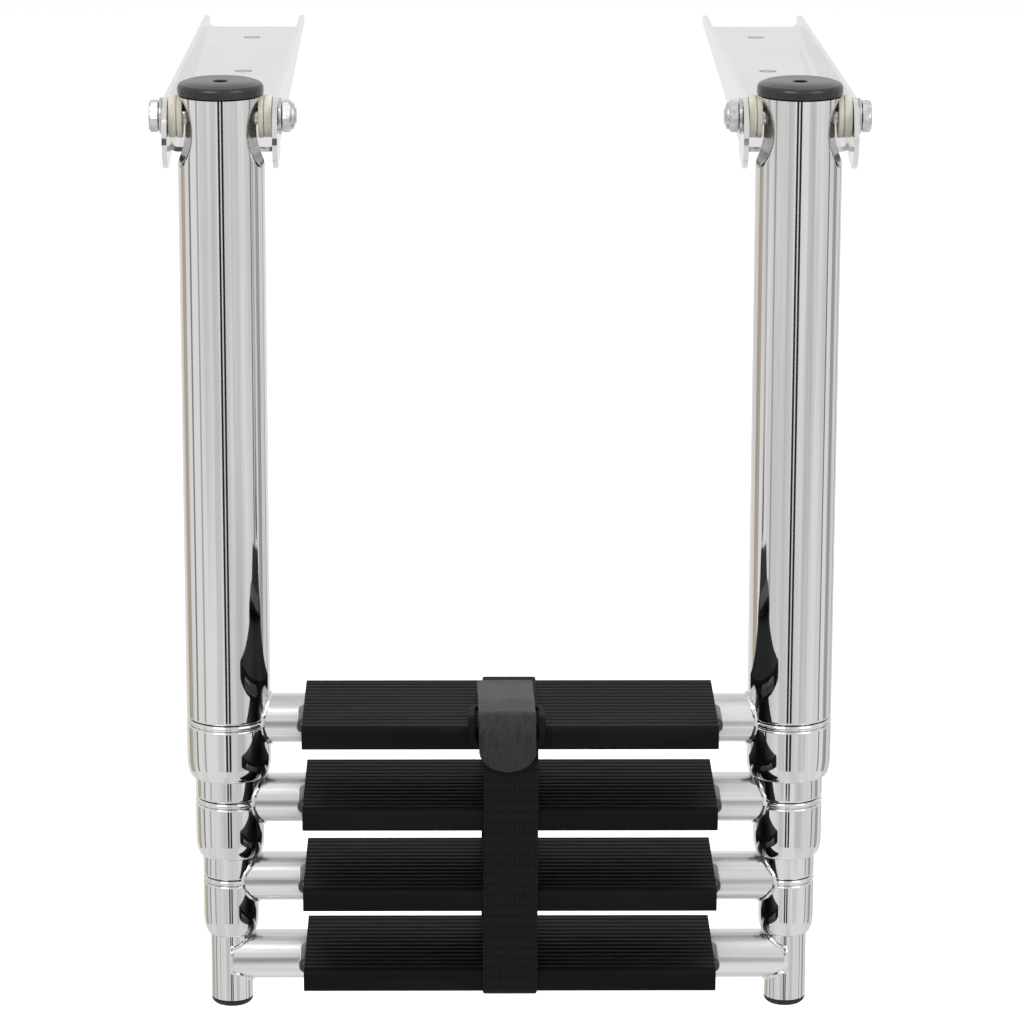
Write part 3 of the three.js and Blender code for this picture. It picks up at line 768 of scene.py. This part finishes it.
def round_part(node, fillet):
    """A steel washer or sleeve about the pivot axis, with small rounded edges."""
    lo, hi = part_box(node)
    outer = (hi.z - lo.z) / 2
    profile = [(BOLT_HOLE, lo.x)] + rounded(outer, lo.x, fillet, False, 4)
    profile += rounded(outer, hi.x, fillet, True, 4) + [(BOLT_HOLE, hi.x)]
    shape = moved(turned(profile, 64), (0, 0, PIVOT_Z), ALONG_X)
    piece(node + "_fine", *shape, FASTENER, "root", [node])


def nylon_spacer(which, side):
    """A flat washer and a thicker boss, parted by a fine groove, with the washer against the stile."""
    node = f"{which}_nylon_spacer_{side}"
    x = middle(f"bracket_{side}").x
    lo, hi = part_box(node)
    outer = (hi.z - lo.z) / 2
    near = min(abs(lo.x - x), abs(hi.x - x))
    far = max(abs(lo.x - x), abs(hi.x - x))
    split = near + 2.3 * MM
    boss = outer - 0.2 * MM
    fillet = 0.4 * MM
    profile = [(BOLT_HOLE, near)] + rounded(outer, near, fillet, False, 4)
    profile += rounded(outer, split, fillet, True, 4) + [(outer - 0.9 * MM, split + 0.15 * MM)]
    profile += rounded(boss, split + 0.3 * MM, fillet, False, 4)
    profile += rounded(boss, far, fillet, True, 4) + [(BOLT_HOLE, far)]
    turn = facing(side, 1 if which == "outer" else -1)
    shape = moved(turned(profile, 64), (x, 0, PIVOT_Z), turn)
    piece(node + "_moulded", *shape, NYLON, "root", [node])


# ---------------------------------------------------------------- strap


def strap_surface(path, thickness, width_at, centre_at, closed):
    """A webbing strip along (y, z) points. width_at and centre_at take a share of its length."""
    across = [(-1, 0), (-0.97, 0.8), (-0.9, 1), (-0.45, 1), (0, 1), (0.45, 1), (0.9, 1), (0.97, 0.8),
              (1, 0), (0.97, -0.8), (0.9, -1), (0.45, -1), (0, -1), (-0.45, -1), (-0.9, -1), (-0.97, -0.8)]
    count = len(path)
    loops = []
    for i, (a, b) in enumerate(path):
        if closed:
            before, after = path[i - 1], path[(i + 1) % count]
        else:
            before, after = path[max(i - 1, 0)], path[min(i + 1, count - 1)]
        along = Vector((0, after[0] - before[0], after[1] - before[1])).normalized()
        out = Vector((0, -along.z, along.y))
        share = i / (count - 1)
        width, centre = width_at(share), centre_at(share)
        at = Vector((centre, a, b))
        loops.append([at + Vector((u * width / 2, 0, 0)) + out * (v * thickness / 2) for u, v in across])
    return skin(loops, closed)


def resampled(points, step, closed):
    """Points at even steps along a path."""
    if closed:
        points = points + [points[0]]
    found = [points[0]]
    left = step
    for (a0, b0), (a1, b1) in zip(points, points[1:]):
        length = math.hypot(a1 - a0, b1 - b0)
        at = 0.0
        while length - at > left:
            at += left
            found.append((a0 + (a1 - a0) * at / length, b0 + (b1 - b0) * at / length))
            left = step
        left -= length - at
    if closed and math.hypot(found[-1][0] - found[0][0], found[-1][1] - found[0][1]) < step * 0.5:
        found.pop()
    return found


def strap():
    """The band, a closed loop round all four treads, with a row of stitches down each edge."""
    lo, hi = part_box("strap_band")
    mid = STRAP_THICK / 2
    top, bottom_rung = hi.z - 1.6 * MM, RUNG_Z[4]
    front, back = lo.y + mid, hi.y - mid
    shell = bottom_rung - lo.z - mid
    lip = bottom_rung + TREAD_TOP - TREAD_THICK
    nose = NOSE_ROUND + STRAP_GAP + mid
    slope = math.degrees(math.atan2(lip - (bottom_rung - SHELL_R), -TREAD_LO.y))
    loop = arc((back - shell, bottom_rung), shell, 0, -90 - slope, 24)
    loop += arc((front + nose, lip + nose - 0.9 * MM), nose, -90 - slope, -180, 10)
    loop += arc((front + nose, top - nose), nose, -180, -270, 10)
    loop += arc((back - STRAP_CORNER, top - STRAP_CORNER), STRAP_CORNER, 90, 0, 6)
    path = resampled(loop[::-1], STRAP_STEP, True)
    width = hi.x - lo.x

    def sway(share):
        return 0.35 * MM * math.sin(6.28 * share)

    surface = strap_surface(path, STRAP_THICK, lambda share: width, sway, True)
    piece("strap_band_woven", *surface, BAND, "section_1", ["strap_band"], 60)
    for side, edge in (("left", -1), ("right", 1)):
        stitch_line(path, edge * (width / 2 - 2.2 * MM), f"strap_stitching_{side}")


def stitch_line(path, x, name):
    """Short raised stitches down the front run of the band."""
    shapes = []
    front = min(p[0] for p in path)
    run = [p for p in path if p[0] < front + 0.3 * MM]
    for i in range(0, len(run) - 2, 4):
        (a0, b0), (a1, b1) = run[i], run[i + 2]
        start = Vector((x, a0 - STRAP_THICK / 2, b0))
        end = Vector((x, a1 - STRAP_THICK / 2, b1))
        along = (end - start).normalized()
        sideways = Vector((1, 0, 0))
        upward = along.cross(sideways)
        loops = []
        for share, radius in ((0, 0.05), (0.15, 0.22), (0.5, 0.28), (0.85, 0.22), (1, 0.05)):
            centre = start.lerp(end, share)
            ring = []
            for k in range(6):
                angle = 2 * math.pi * k / 6
                out = sideways * math.cos(angle) + upward * math.sin(angle)
                ring.append(centre + out * radius * MM)
            loops.append(ring)
        shapes.append(skin(loops, False))
    piece(name, *join_shapes(shapes), BAND, "section_1", [], 80)


def strap_flap():
    """The loose end: over the top of the first tread, over the buckle and down to a rounded tip."""
    lo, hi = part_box("strap_flap")
    radius = BUCKLE_BED + 2.5 * MM + FLAP_THICK / 2
    y, z = TREAD_LO.y + NOSE_ROUND, TREAD_HI.z - NOSE_ROUND
    level_from = y + BUCKLE_RUN + 1 * MM
    rise = hi.z - 3.7 * MM
    path = [(hi.y, rise), (hi.y - 6 * MM, rise + 0.2 * MM), (hi.y - 14 * MM, rise + 0.9 * MM)]
    path += [(level_from + 8 * MM, z + radius - 0.6 * MM), (level_from, z + radius)]
    path += arc((y, z), radius, 90, 180, 14)
    path += [(y - radius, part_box("strap_buckle")[0].z - 1 * MM), (TREAD_LO.y - 3.8 * MM, lo.z)]
    path = resampled(path, STRAP_STEP, False)
    width = hi.x - lo.x
    middle_x = (hi.x + lo.x) / 2
    total = (len(path) - 1) * STRAP_STEP
    tip = width / 2 * 0.8

    def width_at(share):
        left = (1 - share) * total
        if left >= tip:
            return width
        return max(width * math.sqrt(max(0.0, 1 - (1 - left / tip) ** 2)), 2 * MM)

    def centre_at(share):
        return middle_x + (-0.5 + 0.9 * share) * MM

    surface = strap_surface(path, FLAP_THICK, width_at, centre_at, False)
    piece("strap_flap_pile", *surface, PILE, "strap_flap", ["strap_flap"], 60)


def buckle():
    """A rounded ring that hugs the nose of the first tread, under the flap."""
    lo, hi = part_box("strap_buckle")
    radius = BUCKLE_BED + BUCKLE_HALF
    y, z = TREAD_LO.y + NOSE_ROUND, TREAD_HI.z - NOSE_ROUND
    turned_by = BUCKLE_RUN + radius * math.pi / 2
    total = turned_by + z - lo.z
    corner_x = (hi.x - lo.x) / 2 - BUCKLE_BAR - BUCKLE_CORNER
    corner_t = total / 2 - BUCKLE_BAR - BUCKLE_CORNER
    middle_x = (hi.x + lo.x) / 2
    turns = []
    for sign_x, sign_t, start in ((1, 1, 0), (-1, 1, 90), (-1, -1, 180), (1, -1, 270)):
        turns += arc((sign_x * corner_x, sign_t * corner_t), BUCKLE_CORNER, start, start + 90, 10)
    dense = resampled(turns, STRAP_STEP, True)

    def wrapped(x, t, height):
        """A point of the flat ring, bent over the tread's nose. t runs from the back to the lower front."""
        along = t + total / 2
        if along < BUCKLE_RUN:
            return Vector((x, y + BUCKLE_RUN - along, z + radius + height))
        if along > turned_by:
            return Vector((x, y - radius - height, z - (along - turned_by)))
        angle = math.pi / 2 + (along - BUCKLE_RUN) / radius
        return Vector((x, y + (radius + height) * math.cos(angle), z + (radius + height) * math.sin(angle)))

    loops = []
    for i, (cx, ct) in enumerate(dense):
        before, after = dense[i - 1], dense[(i + 1) % len(dense)]
        dx, dt = after[0] - before[0], after[1] - before[1]
        length = math.hypot(dx, dt)
        nx, nt = dt / length, -dx / length
        loop = []
        for k in range(16):
            a = 2 * math.pi * k / 16
            u = BUCKLE_BAR * math.copysign(abs(math.cos(a)) ** 0.7, math.cos(a))
            v = BUCKLE_HALF * math.copysign(abs(math.sin(a)) ** 0.7, math.sin(a))
            loop.append(wrapped(middle_x + cx + nx * u, ct + nt * u, v))
        loops.append(loop)
    piece("strap_buckle_moulded", *skin(loops, True), TREAD, "strap_flap", ["strap_buckle"], 60)


# ---------------------------------------------------------------- the object

for side in SIDES:
    bracket(side)
    pivot_bolt(side)
    lock_nut(side)
    round_part(f"head_washer_{side}", 0.2 * MM)
    round_part(f"nut_washer_{side}", 0.2 * MM)
    round_part(f"crush_sleeve_{side}", 0.3 * MM)
    nylon_spacer("outer", side)
    nylon_spacer("inner", side)
    top_cap(side)
    rubber_foot(side)
    for section in (1, 2, 3, 4):
        stile(section, side)
        if section < 4:
            end_collar(section, side)
        if section > 1:
            guide_bushing(section, side)
for section in (1, 2, 3, 4):
    rung_tube(section)
    tread(section)
strap()
strap_flap()
buckle()

# ---------------------------------------------------------------- studio and camera


def plane(name, centre, across, up, material):
    """A flat rectangle for the studio that casts no shadow, with half-sizes as vectors."""
    centre, across, up = Vector(centre), Vector(across), Vector(up)
    mesh = bpy.data.meshes.new(name)
    corners = [centre - across - up, centre + across - up, centre + across + up, centre - across + up]
    mesh.from_pydata([tuple(c) for c in corners], [], [(0, 1, 2, 3)])
    mesh.materials.append(material)
    obj = bpy.data.objects.new(name, mesh)
    bpy.context.scene.collection.objects.link(obj)
    obj.visible_shadow = False
    return obj


def area_light(name, at, target, width, height, power):
    """A soft rectangular light at one point, aimed at another."""
    data = bpy.data.lights.new(name, "AREA")
    data.shape = "RECTANGLE"
    data.size, data.size_y = width, height
    data.energy = power
    obj = bpy.data.objects.new(name, data)
    obj.location = at
    obj.rotation_mode = "QUATERNION"
    obj.rotation_quaternion = (Vector(target) - Vector(at)).to_track_quat("-Z", "Y")
    bpy.context.scene.collection.objects.link(obj)
    return obj


def glow(name, colour, strength):
    """A self-lit panel of an even tone."""
    n = Nodes(name)
    n.set(Base_Color=(0, 0, 0, 1), Specular_IOR_Level=0.0)
    n.set(Emission_Color=(*colour, 1), Emission_Strength=strength)
    return n.material


CARD_DISTANCE = 2.9
LOW_CARD = (-1.7, -0.35)
TALL_CARD = (-3.0, 3.0)
NEUTRAL = (1, 1, 1)

# Name, azimuth and width in degrees, strength, colour, and the lower and upper edge.
# Azimuth runs from -Y towards +X.
CARDS = (
    ("dark_card_1", -5.6, 5.6, 0.02, NEUTRAL, LOW_CARD),
    ("dark_card_2", 3.2, 5.6, 0.02, NEUTRAL, LOW_CARD),
    ("grey_card_1", -66, 5, 0.42, NEUTRAL, LOW_CARD),
    ("soft_card_1", -21, 16, 0.66, NEUTRAL, LOW_CARD),
    ("soft_card_2", 34, 20, 0.67, NEUTRAL, LOW_CARD),
    ("thin_card_1", 85, 4, 0.22, NEUTRAL, LOW_CARD),
    ("thin_card_2", 140, 5, 0.40, NEUTRAL, LOW_CARD),
    ("grey_card_2", -92, 6, 0.25, NEUTRAL, LOW_CARD),
    ("grey_card_3", 110, 16, 0.40, NEUTRAL, LOW_CARD),
    ("brown_card", -121, 20, 0.50, (1, 0.86, 0.66), LOW_CARD),
    ("white_card", 180, 60, 0.87, (1, 0.99, 0.985), TALL_CARD),
)


def card(name, azimuth, width, strength, colour, edges):
    """A tall panel that only reflections see."""
    angle = math.radians(azimuth)
    low, high = edges
    centre = Vector((math.sin(angle), -math.cos(angle), 0)) * CARD_DISTANCE
    centre.z = (low + high) / 2
    aside = Vector((math.cos(angle), math.sin(angle), 0)) * (CARD_DISTANCE * math.radians(width) / 2)
    obj = plane(name, centre, aside, (0, 0, (high - low) / 2), glow(name, colour, strength))
    obj.visible_camera = False
    obj.visible_diffuse = False


HANG = 240 * MM  # the ladder hangs this far above the floor, so that a section has room to slide down


def studio():
    """A pale floor, a white world, three soft lights and the cards that the polished steel mirrors."""
    scene = bpy.context.scene
    world = bpy.data.worlds.new("studio")
    scene.world = world
    world.use_nodes = True
    background = world.node_tree.nodes["Background"]
    background.inputs["Color"].default_value = (1, 1, 1, 1)
    background.inputs["Strength"].default_value = 0.80
    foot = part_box("rubber_foot_left")[0].z
    floor = plane("floor", (0, 0, foot - HANG), (8, 0, 0), (0, 8, 0), pale_floor())
    floor.visible_glossy = False
    for values in CARDS:
        card(*values)
    area_light("key", (-1.4, -2.2, 2.2), (0, 0, -0.15), 1.6, 1.6, 36)
    area_light("fill", (1.8, -1.6, 1.6), (0, 0, -0.15), 1.4, 1.8, 20)
    overhead = area_light("overhead", (0, 1.2, 3.0), (0, 0.8, -0.4), 3.5, 3.5, 110)
    overhead.visible_glossy = False
    scene.view_settings.view_transform = "Standard"


def camera():
    """The camera of the reference view: a long lens in front and a little above."""
    distance = 2.135
    pitch = math.radians(14.92)
    yaw = math.radians(0.61)
    roll = math.radians(0.13)
    target = Vector((1.1 * MM, 0, PIVOT_Z - 178.4 * MM))
    ahead = Vector((math.sin(yaw) * math.cos(pitch), math.cos(yaw) * math.cos(pitch), -math.sin(pitch)))
    data = bpy.data.cameras.new("camera")
    data.sensor_width = 36
    data.lens = 168.75
    data.clip_start, data.clip_end = 0.1, 50
    obj = bpy.data.objects.new("camera", data)
    obj.location = target - ahead * distance
    obj.rotation_mode = "QUATERNION"
    obj.rotation_quaternion = ahead.to_track_quat("-Z", "Y") @ Matrix.Rotation(roll, 3, "Z").to_quaternion()
    bpy.context.scene.collection.objects.link(obj)
    bpy.context.scene.camera = obj


studio()
camera()
